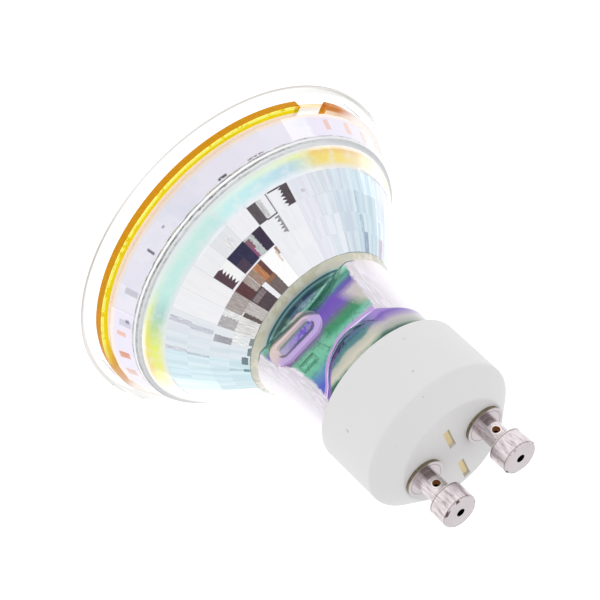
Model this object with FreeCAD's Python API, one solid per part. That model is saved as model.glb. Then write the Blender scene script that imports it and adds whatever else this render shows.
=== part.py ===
import FreeCAD, Part
import math
import os
from FreeCAD import Vector

# A GU10 spotlight lamp: a pressed glass reflector with a faceted mirror inside, a light board
# and clear cover in its rim, a small driver in its neck, and a white cap with two contact pins.
# Millimetres. Z is the lamp's axis, with Z = 0 at the front face of the rim and the pins at the top.
# X runs through both contact pins. The lamp stands on its rim.

os.makedirs("parts", exist_ok=True)

# Rim of the reflector
rim_radius = 25.0
rim_edge_height = 0.95         # height of the full-width rim above the front face
rim_rounding = 0.25
rim_overhang = 0.65            # how far the rim stands out of the collar above it
collar_wall = 0.75             # clear glass around the light board
collar_height = 2.9
seat_roof = 0.3                # glass left above the seat, below the top of the collar
seat_gap = 0.15                # round the cover and the light board

# Bowl of the reflector, measured on its outside, from the collar up to the neck
glass_wall = 1.4
mirror_start_inset = 1.6
mirror_start_rise = 0.5
step_inset = 1.35              # the ring-shaped step round the bowl
step_rise = 3.0
step_width = 0.85
band_inset = 2.4               # end of the plain band, where the facets start
band_rise = 3.3
shoulder_rise = 9.0            # end of the facets, where the bowl meets the neck
shoulder_overhang = 0.4
bowl_bulge = 0.3               # how far the faceted part swells out of a straight cone

# Facets pressed into the inside of the bowl
facet_columns = 36
facet_rows = 4
facet_turn = -3.0              # degrees of the facet corners against the flats

# Neck of the reflector: round, with two flats, turned a little against the pins
neck_turn = 10.0               # degrees about the axis
neck_radius = 9.8
neck_flare = 1.1               # how much wider the neck is at its root
neck_taper_length = 9.5
neck_length = 16.6             # from the ledge at its root to its end
ledge_rise = 0.8
flat_inset = 2.3               # from the round neck to its flats
root_inset = 1.7               # round root of the neck below the flats
root_height = 1.6
arch_rise = 7.4                # where the flats end, at their middle, above the ledge
foot_length = 4.6              # from there to where the foot is as wide as the neck

# Moulded oval and small frame on one flat
oval_length = 8.3
oval_height = 4.1
oval_line = 1.3
oval_relief = 0.25
oval_side = 3.4                # sideways from the middle of the flat
oval_rise = 2.5                # from the ledge to its centre
mark_length = 2.6
mark_height = 1.25
mark_line = 0.3
mark_relief = 0.12
mark_side = 4.5
mark_rise = 6.5

# Cap
cap_wall = 1.0                 # round the neck
cap_bore_gap = 0.3             # filled by the cement
cap_overlap = 3.4              # how far the neck goes into the cap
cap_seat_clearance = 0.3       # between the end of the neck and its seat in the cap
cap_seat_width = 1.1
cap_side_length = 9.7          # from the mouth to the start of the slanted edge
cap_slant_width = 3.15
cap_slant_height = 2.95
cap_floor = 2.55               # thickness of the end wall
cap_inner_slant = 1.6
cap_lip_rounding = 0.5
cap_edge_rounding = 0.45
cement_height = 2.3

# Contact pins
pin_spacing = 10.0
pin_length = 7.15              # above the face of the cap
pin_head_radius = 2.5
pin_head_length = 2.9
pin_head_chamfer = 0.2
pin_stem_radius = 1.5
pin_flange_radius = 2.75
pin_flange_thickness = 0.5
pin_bore_radius = 0.575
pin_clinch_radius = 2.1
pin_clinch_height = 0.6
cross_hole_radius = 0.53
cross_hole_height = 2.15       # above the flange
cross_hole_turn = -12.0        # degrees away from the -Y side

# Driver board, standing along the axis with two tabs in the end wall of the cap
board_thickness = 0.8
board_x = -0.2
board_neck_gap = 0.7           # from its edges to the inside of the flats
board_cavity_gap = 1.7         # from its wide edge to the inside of the cap
board_low_rise = 0.5           # its lower edge, above the ledge
board_step_rise = 0.6          # its wider part starts this far above the seat in the cap
tab_length = 3.8
tab_centres = (-2.7, 5.3)
tab_recess = 0.45              # tabs end this far below the face of the cap
slot_gap = 0.1

# Light board and its light-emitting chips
light_board_thickness = 1.2
notch_width = 5.3
notch_depth = 2.3
notch_turn = -49.0             # degrees away from the -Y side
wire_hole_gap = 0.15
chip_count = 12
chip_ring_radius = 15.0
chip_length = 3.5
chip_width = 2.8
chip_height = 0.5
lens_inset = 0.35
lens_depth = 0.1

# Front cover
cover_recess = 0.1
cover_plate = 0.6
cover_skirt = 1.0
cover_rounding = 0.15

# Parts on the driver board
capacitor_radius = 3.15
capacitor_rise = 1.3           # above the lower edge of the board
capacitor_drop = 10.5          # its top, below the end wall of the cap
capacitor_crimp = 0.35
capacitor_lead_pitch = 2.5
inductor_radius = 3.0
inductor_length = 5.0
inductor_rise = 5.5
inductor_flange = 0.9
inductor_core_radius = 1.3
winding_radius = 2.6
driver_chip_size = (1.5, 3.9, 4.9)
driver_chip_rise = 12.1
driver_chip_pitch = 1.27
driver_chip_legs = 4           # on each side
rectifier_size = (2.3, 3.9, 4.2)
rectifier_drop = 3.3           # below the end wall of the cap
rectifier_pitch = 2.5
rectifier_legs = 2
leg_width = 0.4
leg_thickness = 0.2
leg_reach = 0.9
film_capacitor_size = (2.8, 7.0, 6.0)
film_capacitor_drop = 5.7
film_capacitor_rounding = 0.6
resistor_radius = 1.2
resistor_length = 6.3
resistor_drop = 5.4
resistor_waist = 0.2
lead_radius = 0.3
lead_bend = 1.2
led_wire_radius = 0.45
led_wire_inset = 3.2           # from the edges of the driver board
led_wire_slack = 1.0
led_wire_bend = 4.0
wire_straight = 3.0            # straight run of a wire next to a board
neutral_wire_inset = 1.2
lead_end_depth = 0.8           # leads end this far below the face of the cap, inside the pins

# Radii that follow from the values above
collar_radius = rim_radius - rim_overhang
seat_radius = collar_radius - collar_wall
mirror_start_radius = collar_radius - mirror_start_inset
step_radius = mirror_start_radius - step_inset
band_radius = step_radius - band_inset
neck_top_radius = neck_radius + neck_flare
shoulder_radius = neck_top_radius + shoulder_overhang
flat_half_depth = neck_radius - flat_inset
root_radius = neck_top_radius - root_inset
cap_bore = neck_radius + cap_bore_gap
cap_radius = cap_bore + cap_wall
cap_face_radius = cap_radius - cap_slant_width
cap_cavity_radius = cap_bore - cap_seat_width
cap_face_inner_radius = cap_cavity_radius - cap_inner_slant
light_board_radius = seat_radius - seat_gap
wire_hole_radius = led_wire_radius + wire_hole_gap
board_half_width = flat_half_depth - glass_wall - board_neck_gap
board_wide_edge = cap_cavity_radius - board_cavity_gap
led_wire_side = board_half_width - led_wire_inset
neutral_wire_side = board_half_width - neutral_wire_inset

# Heights that follow, from the front face up
seat_depth = collar_height - seat_roof
board_front_height = seat_depth - light_board_thickness
mirror_start_height = collar_height + mirror_start_rise
step_height = mirror_start_height + step_rise
band_height = step_height + band_rise
shoulder_height = band_height + shoulder_rise
ledge_height = shoulder_height + ledge_rise
neck_taper_height = ledge_height + neck_taper_length
arch_height = ledge_height + arch_rise
foot_height = arch_height + foot_length
neck_end_height = ledge_height + neck_length
cap_mouth_height = neck_end_height - cap_overlap
cap_seat_height = neck_end_height + cap_seat_clearance
cap_edge_height = cap_mouth_height + cap_side_length
cap_face_height = cap_edge_height + cap_slant_height
cap_inner_face = cap_face_height - cap_floor
pin_end_height = cap_face_height + pin_length
board_low_height = ledge_height + board_low_rise
board_wide_height = cap_seat_height + board_step_rise
lead_end_height = cap_face_height - lead_end_depth

# Places along X that follow
pin_x = pin_spacing / 2.0
board_face_plus = board_x + board_thickness / 2.0
board_face_minus = board_x - board_thickness / 2.0
AXIS = Vector(0, 0, 1)
ORIGIN = Vector(0, 0, 0)


def save(shape, name):
    shape.exportStep("parts/" + name + ".step")


def point(radius, height):
    return Vector(radius, 0, height)


def turned(edges):
    """Solid made by turning a closed outline in the XZ plane round the axis."""
    face = Part.Face(Part.Wire(edges))
    return face.revolve(ORIGIN, AXIS, 360)


def turned_polygon(outline):
    """Solid of revolution whose outline is a list of (radius, height) corners."""
    corners = [point(r, z) for r, z in outline]
    corners.append(corners[0])
    return turned(Part.makePolygon(corners).Edges)


def box_between(low, high):
    size = Vector(*high) - Vector(*low)
    return Part.makeBox(size.x, size.y, size.z, Vector(*low))


def wire_along(points, radius, bend):
    """Round wire along straight runs between the points, with its corners bent to this radius."""
    places = [Vector(*p) for p in points]
    edges = []
    last = places[0]
    for before, corner, after in zip(places, places[1:], places[2:]):
        back = (before - corner).normalize()
        on = (after - corner).normalize()
        half_angle = back.getAngle(on) / 2.0
        reach = bend / math.tan(half_angle)
        inwards = (back + on).normalize()
        middle = corner + inwards * (bend / math.sin(half_angle) - bend)
        edges.append(Part.makeLine(last, corner + back * reach))
        last = corner + on * reach
        edges.append(Part.Arc(corner + back * reach, middle, last).toShape())
    edges.append(Part.makeLine(last, places[-1]))
    ring = Part.makeCircle(radius, places[0], places[1] - places[0])
    return Part.Wire(edges).makePipeShell([Part.Wire(ring)], True, False)


def fillet_circles(shape, radius, circles):
    """Round the circular edges about the axis that have one of these (radius, height) pairs."""
    chosen = []
    for edge in shape.Edges:
        if not isinstance(edge.Curve, Part.Circle):
            continue
        for r, z in circles:
            on_axis = math.hypot(edge.Curve.Center.x, edge.Curve.Center.y) < 1e-6
            if on_axis and abs(edge.Curve.Radius - r) < 1e-4 and abs(edge.Curve.Center.z - z) < 1e-4:
                chosen.append(edge)
    return shape.makeFillet(radius, chosen)


def from_front(angle, radius):
    """Point at this radius, turned by degrees away from the -Y side towards +X."""
    turn = math.radians(angle)
    return Vector(radius * math.sin(turn), -radius * math.cos(turn), 0)


def step_inwards():
    """Corners of the ring-shaped step, from below to above it."""
    return [point(step_radius - inwards * step_width, step_height + up * step_width)
            for inwards, up in ((0, 0), (0.18, 0.76), (1.0, 1.18), (1.3, 1.82))]


def bowl_curve(inset):
    """Slightly swollen outline of the faceted part, moved inwards along both axes by the inset."""
    low = point(band_radius - inset, band_height - inset)
    high = point(shoulder_radius - inset, shoulder_height - inset)
    across = (high - low).normalize()
    outwards = Vector(across.z, 0, -across.x)
    middle = (low + high) * 0.5 + outwards * bowl_bulge
    return Part.Arc(low, middle, high)


def glass_outside():
    rim = [
        point(0, 0),
        point(rim_radius - rim_rounding, 0),
        point(rim_radius, rim_rounding),
        point(rim_radius, rim_edge_height),
        point(collar_radius, rim_edge_height + rim_overhang),
        point(collar_radius, collar_height),
        point(mirror_start_radius, mirror_start_height),
    ]
    low = rim + step_inwards() + [point(band_radius, band_height)]
    edges = [Part.makeLine(low[0], low[1])]
    bend = rim_rounding * (1.0 - math.sqrt(0.5))
    edges.append(Part.Arc(low[1], point(rim_radius - bend, bend), low[2]).toShape())
    edges += [Part.makeLine(a, b) for a, b in zip(low[2:-1], low[3:])]
    edges.append(bowl_curve(0.0).toShape())
    neck = [
        point(shoulder_radius, shoulder_height),
        point(neck_top_radius, ledge_height),
    ]
    edges.append(Part.makeLine(neck[0], neck[1]))
    taper_middle = 0.5 * (ledge_height + neck_taper_height)
    taper = Part.Arc(
        neck[1],
        point(neck_radius + 0.35 * neck_flare, taper_middle),
        point(neck_radius, neck_taper_height),
    )
    edges.append(taper.toShape())
    edges.append(Part.makeLine(point(neck_radius, neck_taper_height), point(neck_radius, neck_end_height)))
    edges.append(Part.makeLine(point(neck_radius, neck_end_height), point(0, neck_end_height)))
    edges.append(Part.makeLine(point(0, neck_end_height), point(0, 0)))
    return turned(edges)


def foot_of_neck():
    """Round foot that swells out of the flats up to the full neck."""
    start = point(flat_half_depth, arch_height)
    end = point(neck_radius, foot_height)
    half = point(
        flat_half_depth + 0.62 * (neck_radius - flat_half_depth),
        arch_height + 0.28 * (foot_height - arch_height),
    )
    edges = [
        Part.makeLine(point(0, arch_height), start),
        Part.Arc(start, half, end).toShape(),
        Part.makeLine(end, point(neck_radius, neck_end_height)),
        Part.makeLine(point(neck_radius, neck_end_height), point(0, neck_end_height)),
        Part.makeLine(point(0, neck_end_height), point(0, arch_height)),
    ]
    return turned(edges)


def root_of_neck():
    """Round root that narrows from the ledge into the flats."""
    return turned_polygon([
        (0, ledge_height),
        (root_radius, ledge_height),
        (flat_half_depth, ledge_height + root_height),
        (0, ledge_height + root_height),
    ])


def flat_cutter():
    """What is taken off one side of the neck: a slab less the round foot and root."""
    far = rim_radius
    slab = box_between((-far, -far, ledge_height), (far, -flat_half_depth, neck_end_height))
    return slab.cut(foot_of_neck()).cut(root_of_neck())


def stadium(length, height, depth):
    """Upright plate with round ends, centred at the origin, reaching from Y = 0 to -depth."""
    r = height / 2.0
    half = length / 2.0 - r
    edges = [
        Part.makeLine(Vector(-half, 0, -r), Vector(half, 0, -r)),
        Part.Arc(Vector(half, 0, -r), Vector(half + r, 0, 0), Vector(half, 0, r)).toShape(),
        Part.makeLine(Vector(half, 0, r), Vector(-half, 0, r)),
        Part.Arc(Vector(-half, 0, r), Vector(-half - r, 0, 0), Vector(-half, 0, -r)).toShape(),
    ]
    return Part.Face(Part.Wire(edges)).extrude(Vector(0, -depth, 0))


def moulded_marks():
    """Raised oval ring and raised small frame on the -Y flat."""
    root = glass_wall / 2.0
    ring = stadium(oval_length, oval_height, oval_relief + root)
    hole = stadium(oval_length - 2 * oval_line, oval_height - 2 * oval_line, oval_relief + root)
    ring = ring.cut(hole)
    ring.translate(Vector(oval_side, -flat_half_depth + root, ledge_height + oval_rise))
    depth = mark_relief + root
    outer = Part.makeBox(mark_length, depth, mark_height)
    inner = Part.makeBox(mark_length - 2 * mark_line, depth, mark_height - 2 * mark_line,
                         Vector(mark_line, 0, mark_line))
    frame = outer.cut(inner)
    frame.translate(Vector(mark_side - mark_length / 2, -flat_half_depth - mark_relief,
                           ledge_height + mark_rise - mark_height / 2))
    return ring.fuse(frame)


def facet_rings():
    """Circles of corners of the facets: (radius, height) of each, from the band to the shoulder."""
    curve = bowl_curve(glass_wall / math.sqrt(2.0))
    first, last = curve.FirstParameter, curve.LastParameter
    rings = []
    for row in range(facet_rows + 1):
        p = curve.value(first + (last - first) * row / facet_rows)
        rings.append((p.x, p.z))
    return rings


def faceted_space(rings):
    """Space inside the bowl whose side is made of flat facets between the rings."""
    circles = []
    for radius, height in rings:
        ring = []
        for i in range(facet_columns):
            corner = from_front(facet_turn + 360.0 * i / facet_columns, radius)
            ring.append(corner + Vector(0, 0, height))
        circles.append(ring + ring[:1])
    faces = [Part.Face(Part.makePolygon(circles[0])), Part.Face(Part.makePolygon(circles[-1]))]
    for lower, upper in zip(circles, circles[1:]):
        for i in range(facet_columns):
            corners = [lower[i], lower[i + 1], upper[i + 1], upper[i], lower[i]]
            faces.append(Part.Face(Part.makePolygon(corners)))
    solid = Part.Solid(Part.Shell(faces))
    if solid.Volume < 0:
        solid.reverse()
    return solid


def glass_inside():
    """Everything hollow in the reflector."""
    rings = facet_rings()
    along = glass_wall / math.sqrt(2.0)
    seat = turned_polygon([(0, 0), (seat_radius, 0), (seat_radius, seat_depth), (0, seat_depth)])
    lower = (mirror_start_radius - glass_wall, seat_depth)
    upper = (step_radius - 0.93 * glass_wall, step_height - 0.43 * glass_wall)
    rim_facets = faceted_space([lower, upper])
    band = turned_polygon([
        (0, seat_depth),
        (lower[0] - glass_wall, seat_depth),
        (upper[0] - 0.1 * glass_wall, upper[1]),
        (rings[0][0] - 0.1 * glass_wall, rings[0][1]),
        (0, rings[0][1]),
    ])
    facets = faceted_space(rings)
    neck_low = shoulder_height - 1.15 * along
    throat = turned_polygon([
        (0, neck_low),
        (neck_top_radius - glass_wall, neck_low),
        (neck_top_radius - glass_wall, ledge_height),
        (neck_radius - glass_wall, neck_taper_height),
        (neck_radius - glass_wall, neck_end_height),
        (0, neck_end_height),
    ])
    depth = flat_half_depth - glass_wall
    slab = box_between((-rim_radius, -depth, neck_low), (rim_radius, depth, neck_end_height))
    throat = throat.common(slab)
    return seat.fuse([rim_facets, band, facets, throat])


def glass_reflector():
    body = glass_outside()
    cutter = flat_cutter()
    body = body.cut(cutter)
    other = cutter.copy()
    other.rotate(ORIGIN, AXIS, 180)
    body = body.cut(other)
    body = body.fuse(moulded_marks())
    body = body.cut(glass_inside())
    body.rotate(ORIGIN, AXIS, neck_turn)
    return body.removeSplitter()


def front_cover():
    outer = seat_radius - seat_gap
    top = cover_recess + cover_plate
    plate = turned_polygon([
        (0, cover_recess),
        (outer, cover_recess),
        (outer, board_front_height),
        (outer - cover_skirt, board_front_height),
        (outer - cover_skirt, top),
        (0, top),
    ])
    return fillet_circles(plate, cover_rounding, [(outer, cover_recess)])


def light_board():
    disc = Part.makeCylinder(light_board_radius, light_board_thickness, point(0, board_front_height))
    notch = Part.makeBox(notch_width, 2 * notch_depth, light_board_thickness,
                         Vector(-notch_width / 2, -light_board_radius - notch_depth, board_front_height))
    notch.rotate(ORIGIN, AXIS, notch_turn)
    disc = disc.cut(notch)
    for side in (-1, 1):
        place = Vector(board_x, side * led_wire_side, board_front_height)
        disc = disc.cut(Part.makeCylinder(wire_hole_radius, light_board_thickness, place))
    return disc


def light_chip(index):
    """One chip with its shallow light window, on the front side of the light board."""
    low = board_front_height - chip_height
    body = box_between((-chip_length / 2, -chip_width / 2, low),
                       (chip_length / 2, chip_width / 2, board_front_height))
    window = box_between(
        (-chip_length / 2 + lens_inset, -chip_width / 2 + lens_inset, low),
        (chip_length / 2 - lens_inset, chip_width / 2 - lens_inset, low + lens_depth),
    )
    body = body.cut(window)
    angle = 360.0 * index / chip_count
    body.translate(Vector(0, -chip_ring_radius, 0))
    body.rotate(ORIGIN, AXIS, angle + 180.0 / chip_count)
    return body


def cap():
    corner_height = cap_inner_face - cap_inner_slant
    body = turned_polygon([
        (cap_bore, cap_mouth_height),
        (cap_radius, cap_mouth_height),
        (cap_radius, cap_edge_height),
        (cap_face_radius, cap_face_height),
        (0, cap_face_height),
        (0, cap_inner_face),
        (cap_face_inner_radius, cap_inner_face),
        (cap_cavity_radius, corner_height),
        (cap_cavity_radius, cap_seat_height),
        (cap_bore, cap_seat_height),
    ])
    body = fillet_circles(body, cap_lip_rounding, [(cap_radius, cap_mouth_height)])
    body = fillet_circles(body, cap_edge_rounding, [
        (cap_radius, cap_edge_height),
        (cap_face_radius, cap_face_height),
    ])
    for side in (-1, 1):
        hole = Part.makeCylinder(pin_stem_radius, cap_floor, Vector(side * pin_x, 0, cap_inner_face))
        body = body.cut(hole)
    half_gap = board_thickness / 2 + slot_gap
    half_length = tab_length / 2 + slot_gap
    for centre in tab_centres:
        slot = box_between((board_x - half_gap, centre - half_length, cap_inner_face),
                           (board_x + half_gap, centre + half_length, cap_face_height))
        body = body.cut(slot)
    return body


def cement_bead():
    """Ring of cement between the neck and the bore of the cap."""
    low = neck_end_height - cement_height
    return turned_polygon([
        (neck_radius, low),
        (cap_bore, low),
        (cap_bore, neck_end_height),
        (neck_radius, neck_end_height),
    ])


def contact_pin(side):
    """Hollow turned pin with a head, a stem, a flange and a clinched inner end."""
    flange_top = cap_face_height + pin_flange_thickness
    head_low = pin_end_height - pin_head_length
    low = cap_inner_face - pin_clinch_height
    pin = turned_polygon([
        (pin_bore_radius, low),
        (pin_clinch_radius, low),
        (pin_clinch_radius, cap_inner_face),
        (pin_stem_radius, cap_inner_face),
        (pin_stem_radius, cap_face_height),
        (pin_flange_radius, cap_face_height),
        (pin_flange_radius, flange_top),
        (pin_stem_radius, flange_top),
        (pin_stem_radius, head_low),
        (pin_head_radius, head_low),
        (pin_head_radius, pin_end_height - pin_head_chamfer),
        (pin_head_radius - pin_head_chamfer, pin_end_height),
        (pin_bore_radius, pin_end_height),
    ])
    towards = from_front(cross_hole_turn, 1.0)
    centre = point(0, flange_top + cross_hole_height)
    pin = pin.cut(Part.makeCylinder(cross_hole_radius, 2 * pin_stem_radius, centre, towards))
    pin.translate(Vector(side * pin_x, 0, 0))
    return pin


def driver_board():
    """Narrow in the neck, wider in the cap, with a tab for each slot of the cap."""
    outline = [
        (-board_half_width, board_low_height),
        (board_half_width, board_low_height),
        (board_half_width, board_wide_height),
        (board_wide_edge, board_wide_height),
        (board_wide_edge, cap_inner_face),
        (-board_half_width, cap_inner_face),
    ]
    corners = [Vector(board_face_minus, y, z) for y, z in outline]
    corners.append(corners[0])
    board = Part.Face(Part.makePolygon(corners)).extrude(Vector(board_thickness, 0, 0))
    for centre in tab_centres:
        tab = box_between((board_face_minus, centre - tab_length / 2, board_wide_height),
                          (board_face_plus, centre + tab_length / 2, cap_face_height - tab_recess))
        board = board.fuse(tab)
    return board.removeSplitter()


def electrolytic_capacitor():
    """Can with a crimp groove, lying along the board, with two bent leads."""
    low = board_low_height + capacitor_rise
    groove = low + 4.5 * capacitor_crimp
    top = cap_inner_face - capacitor_drop
    can = turned_polygon([
        (0, low),
        (capacitor_radius - capacitor_crimp, low),
        (capacitor_radius, low + capacitor_crimp),
        (capacitor_radius, groove - capacitor_crimp),
        (capacitor_radius - capacitor_crimp, groove),
        (capacitor_radius, groove + capacitor_crimp),
        (capacitor_radius, top - capacitor_crimp),
        (capacitor_radius - capacitor_crimp, top),
        (0, top),
    ])
    can.translate(Vector(board_face_plus + capacitor_radius, 0, 0))
    bend = low - 2.5 * lead_radius
    for side in (-1, 1):
        x = board_face_plus + capacitor_radius
        y = side * capacitor_lead_pitch / 2
        leg = Part.makeCylinder(lead_radius, low + capacitor_crimp - bend, Vector(x, y, bend))
        foot = Part.makeCylinder(lead_radius, capacitor_radius, Vector(board_face_plus, y, bend),
                                 Vector(1, 0, 0))
        knee = Part.makeSphere(lead_radius, Vector(x, y, bend))
        can = can.fuse([leg, foot, knee])
    return can.removeSplitter()


def standing_on_board(shape):
    """Move a shape that was turned round Z from zero upwards so that it stands on the -X side."""
    shape.rotate(ORIGIN, Vector(0, 1, 0), -90)
    shape.translate(Vector(board_face_minus, 0, board_low_height + inductor_rise))
    return shape


def inductor_core():
    drum = turned_polygon([
        (0, 0),
        (inductor_radius, 0),
        (inductor_radius, inductor_flange),
        (inductor_core_radius, inductor_flange),
        (inductor_core_radius, inductor_length - inductor_flange),
        (inductor_radius, inductor_length - inductor_flange),
        (inductor_radius, inductor_length),
        (0, inductor_length),
    ])
    return standing_on_board(drum)


def inductor_winding():
    coil = turned_polygon([
        (inductor_core_radius, inductor_flange),
        (winding_radius, inductor_flange),
        (winding_radius, inductor_length - inductor_flange),
        (inductor_core_radius, inductor_length - inductor_flange),
    ])
    return standing_on_board(coil)


def legged_package(size, centre_height, legs, pitch):
    """Flat moulded package on the -X side of the board, with a row of bent legs on each side."""
    height, width, length = size
    x = board_face_minus
    body = box_between((x - height, -width / 2, centre_height - length / 2),
                       (x - leg_thickness / 2, width / 2, centre_height + length / 2))
    outer_edges = [e for e in body.Edges if abs(e.CenterOfMass.x - (x - height)) < 1e-6]
    body = body.makeChamfer(leg_thickness, outer_edges)
    for side in (-1, 1):
        root = side * (width - leg_thickness) / 2
        foot_end = side * (width / 2 + leg_reach)
        rise_end = side * (width / 2 + leg_thickness)
        for i in range(legs):
            z = centre_height + (i - (legs - 1) / 2.0) * pitch - leg_width / 2
            low, high = sorted((root, foot_end))
            foot = box_between((x - leg_thickness, low, z), (x, high, z + leg_width))
            low, high = sorted((root, rise_end))
            rise = box_between((x - height * 0.55, low, z), (x, high, z + leg_width))
            body = body.fuse([foot, rise])
    return body.removeSplitter()


def film_capacitor():
    height, width, length = film_capacitor_size
    centre_height = cap_inner_face - film_capacitor_drop
    low = (board_face_plus, -width / 2, centre_height - length / 2)
    high = (board_face_plus + height, width / 2, centre_height + length / 2)
    block = box_between(low, high)
    upright = [e for e in block.Edges if abs(e.CenterOfMass.x - (low[0] + high[0]) / 2) < 1e-6]
    return block.makeFillet(film_capacitor_rounding, upright)


def fusible_resistor():
    """Barrel below the +X pin: one lead runs up into the pin, the other bends to the board."""
    centre_height = cap_inner_face - resistor_drop
    low = centre_height - resistor_length / 2
    high = centre_height + resistor_length / 2
    bead = resistor_radius                # length of the thicker part at each end
    corner = resistor_radius / 4
    waist = resistor_radius - resistor_waist
    barrel = turned_polygon([
        (0, low),
        (resistor_radius - corner, low),
        (resistor_radius, low + corner),
        (resistor_radius, low + bead),
        (waist, low + bead + 2 * resistor_waist),
        (waist, high - bead - 2 * resistor_waist),
        (resistor_radius, high - bead),
        (resistor_radius, high - corner),
        (resistor_radius - corner, high),
        (0, high),
    ])
    barrel.translate(Vector(pin_x, 0, 0))
    upper = Part.makeCylinder(lead_radius, lead_end_height - centre_height, Vector(pin_x, 0, centre_height))
    bend = low - 3 * lead_radius
    lower = Part.makeCylinder(lead_radius, centre_height - bend, Vector(pin_x, 0, bend))
    across = Part.makeCylinder(lead_radius, pin_x - board_face_plus, Vector(board_face_plus, 0, bend),
                               Vector(1, 0, 0))
    knee = Part.makeSphere(lead_radius, Vector(pin_x, 0, bend))
    return barrel.fuse([upper, lower, across, knee]).removeSplitter()


def neutral_wire():
    """Wire from the board to the inside of the -X pin."""
    low = board_wide_height - 4 * lead_radius
    clinch_height = cap_inner_face - pin_clinch_height
    return wire_along([
        (board_face_minus, neutral_wire_side, low),
        (-pin_x, neutral_wire_side, low),
        (-pin_x, 0, clinch_height - 1.4 * lead_bend),
        (-pin_x, 0, lead_end_height),
    ], lead_radius, lead_bend)


def led_wire(side):
    """Slightly slack wire from the lower edge of the driver board into the light board."""
    y = side * led_wire_side
    return wire_along([
        (board_x, y, board_low_height),
        (board_x, y, board_low_height - wire_straight),
        (board_x + side * led_wire_slack, side * (led_wire_side + led_wire_slack),
         0.5 * (board_low_height + seat_depth)),
        (board_x, y, seat_depth + wire_straight),
        (board_x, y, board_front_height),
    ], led_wire_radius, led_wire_bend)


save(glass_reflector(), "glass_reflector")
save(front_cover(), "front_cover")
save(light_board(), "light_board")
for number in range(chip_count):
    save(light_chip(number), "light_chip_%02d" % (number + 1))
save(cap(), "cap")
save(cement_bead(), "cement_bead")
save(contact_pin(1), "contact_pin_live")
save(contact_pin(-1), "contact_pin_neutral")
save(driver_board(), "driver_board")
save(electrolytic_capacitor(), "electrolytic_capacitor")
save(inductor_core(), "inductor_core")
save(inductor_winding(), "inductor_winding")
driver_chip_height = board_low_height + driver_chip_rise
rectifier_height = cap_inner_face - rectifier_drop
save(legged_package(driver_chip_size, driver_chip_height, driver_chip_legs, driver_chip_pitch),
     "driver_chip")
save(legged_package(rectifier_size, rectifier_height, rectifier_legs, rectifier_pitch),
     "bridge_rectifier")
save(film_capacitor(), "film_capacitor")
save(fusible_resistor(), "fusible_resistor")
save(neutral_wire(), "neutral_wire")
save(led_wire(1), "led_wire_plus")
save(led_wire(-1), "led_wire_minus")
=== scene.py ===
"""Looks of the spotlight bulb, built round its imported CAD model. Blender units are metres."""
import math
from functools import cache
from types import SimpleNamespace
import bpy
import numpy as np
from mathutils import Matrix, Vector


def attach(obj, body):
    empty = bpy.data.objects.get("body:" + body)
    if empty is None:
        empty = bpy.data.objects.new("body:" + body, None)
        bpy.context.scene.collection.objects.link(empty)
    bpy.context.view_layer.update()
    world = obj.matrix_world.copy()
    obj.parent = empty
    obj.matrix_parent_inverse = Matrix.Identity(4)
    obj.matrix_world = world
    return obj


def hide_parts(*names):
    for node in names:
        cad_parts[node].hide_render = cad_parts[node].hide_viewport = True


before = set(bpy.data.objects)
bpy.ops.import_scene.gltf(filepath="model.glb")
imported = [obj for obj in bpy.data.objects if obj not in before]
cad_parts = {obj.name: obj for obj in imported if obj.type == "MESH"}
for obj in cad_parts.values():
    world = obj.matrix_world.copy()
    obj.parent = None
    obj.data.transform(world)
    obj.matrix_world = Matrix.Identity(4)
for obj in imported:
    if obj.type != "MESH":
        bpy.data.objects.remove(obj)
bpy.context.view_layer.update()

MM = 0.001

# Camera, as fitted to the photograph: its place, the way it looks, and its roll
CAMERA_PLACE = (0.047293, -0.275370, 0.196470)
CAMERA_AZIMUTH = 9.84
CAMERA_ELEVATION = 33.21
CAMERA_ROLL = 133.37
CAMERA_LENS = 153.23

# Studio: the direction in which it is a little dimmer, and the soft lamp above
DIM_SIDE = (0.12, -0.69, 0.71)
LAMP_PLACE = (-0.35, -0.25, 0.75)
LAMP_AIM = (0.0, 0.0, 0.02)
LAMP_SIZE = 1.6
LAMP_WATTS = 0.6
FLOOR_HALF_WIDTH = 4.0
FLOOR_GAP = 0.00002

# Clear glass: how much it bends light, and a faint glow that lifts the rays trapped in the thin cover
RIM_INDEX = 1.015
COVER_INDEX = 1.01
COVER_GLOW = 0.09

# Reflector, in millimetres: the seat of the light board, then the outside as (radius, height)
SEAT_RADIUS = 23.6
SEAT_ROOF = 2.63
SEAT_LIP = 21.4
RIM_RADIUS = 24.5              # where the grey lines at the rim's edge start
RIM_OUTLINE = [(25.0, 0.0), (25.0, 0.95), (24.35, 1.6), (24.35, 2.9), (22.75, 3.4)]
STEP_OUTLINE = [(21.4, 6.4), (21.25, 7.05), (20.55, 7.4), (20.3, 7.95)]
BAND_END = (19.0, 9.7)
SHOULDER = (11.3, 18.7)
BOWL_BULGE = 0.3
GLASS_WALL = 1.4
LEDGE_HEIGHT = 19.5
LEDGE_LINE = 19.2              # end of the shoulder ring
STEP_START = 6.45              # heights where the colours of the step and of the plain band start
BAND_START = 7.6
NECK_TOP_RADIUS = 10.9
NECK_RADIUS = 9.8
NECK_TAPER_HEIGHT = 29.0
NECK_END = 36.0
NECK_TURN = 10.0
FLAT_DEPTH = 7.5
ROOT_RADIUS = 9.2
ROOT_HEIGHT = 20.15
FOOT_HEIGHT = 32.0
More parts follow.
